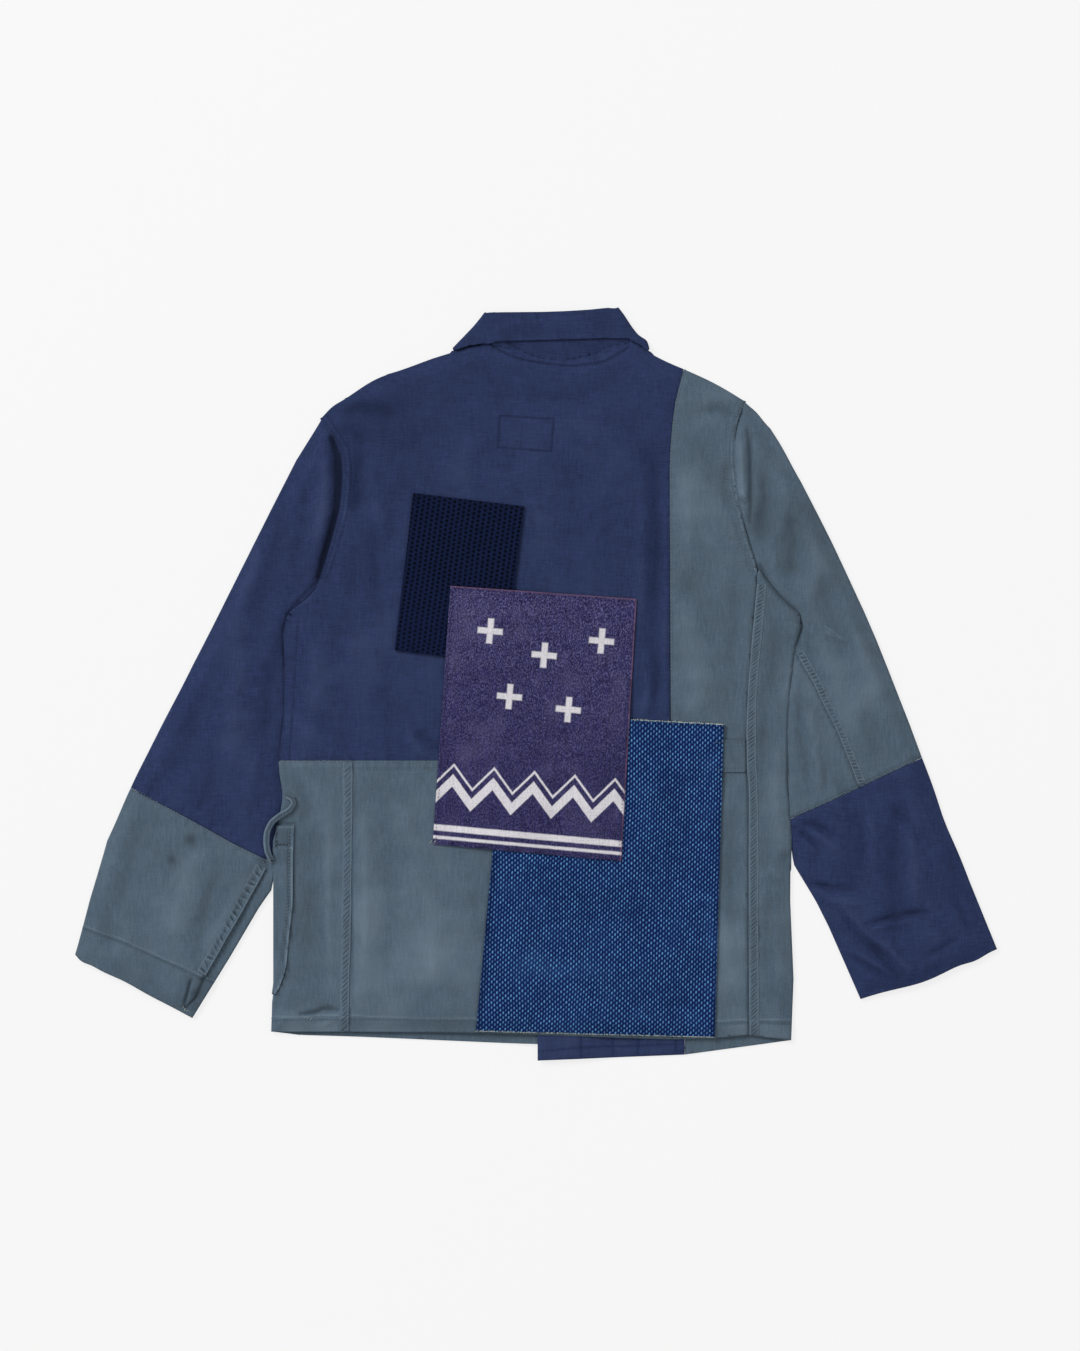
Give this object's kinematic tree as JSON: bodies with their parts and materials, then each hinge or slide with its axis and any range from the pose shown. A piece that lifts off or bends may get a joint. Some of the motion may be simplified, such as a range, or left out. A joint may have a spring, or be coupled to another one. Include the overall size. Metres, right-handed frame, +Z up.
{
  "type": "work jacket",
  "caption": "Long-sleeved work jacket pieced from two cottons and patched on its back, with a turn-down collar, side pocket and hammer loop, laid flat face down.",
  "frame": {"origin": "middle of the footprint, on the surface that the jacket lies on", "axes": "the jacket lies face down: +X to the sleeve on the wearer's right, +Y to the collar, +Z up out of the back"},
  "size_m": [0.9574, 0.7809, 0.0111],
  "materials": {
    "navy_drill": "matte, worn cotton drill",
    "grey_moleskin": "matte, faded cotton moleskin",
    "dark_knit": "matte, ribbed cotton knit",
    "purple_slub": "matte, slubby cotton cloth",
    "indigo_weave": "matte, running-stitch weave",
    "dark_horn": "satin"
  },
  "bodies": {
    "root": {"back_navy": "navy_drill", "front_right_centre": "navy_drill", "sleeve_left_upper": "navy_drill", "sleeve_right_lower": "navy_drill", "collar_stand": "navy_drill", "collar_fall": "navy_drill", "back_grey_left": "grey_moleskin", "back_grey_right": "grey_moleskin", "front_left_upper": "grey_moleskin", "front_left_lower": "grey_moleskin", "front_right_side": "grey_moleskin", "sleeve_left_lower": "grey_moleskin", "sleeve_right_upper": "grey_moleskin", "side_tab": "grey_moleskin", "side_pocket": "grey_moleskin", "side_loop": "grey_moleskin", "patch_knit": "dark_knit", "patch_purple": "purple_slub", "patch_woven": "indigo_weave", "button_1": "dark_horn", "button_2": "dark_horn", "button_3": "dark_horn", "button_4": "dark_horn", "button_5": "dark_horn"}
  },
  "joints": []
}
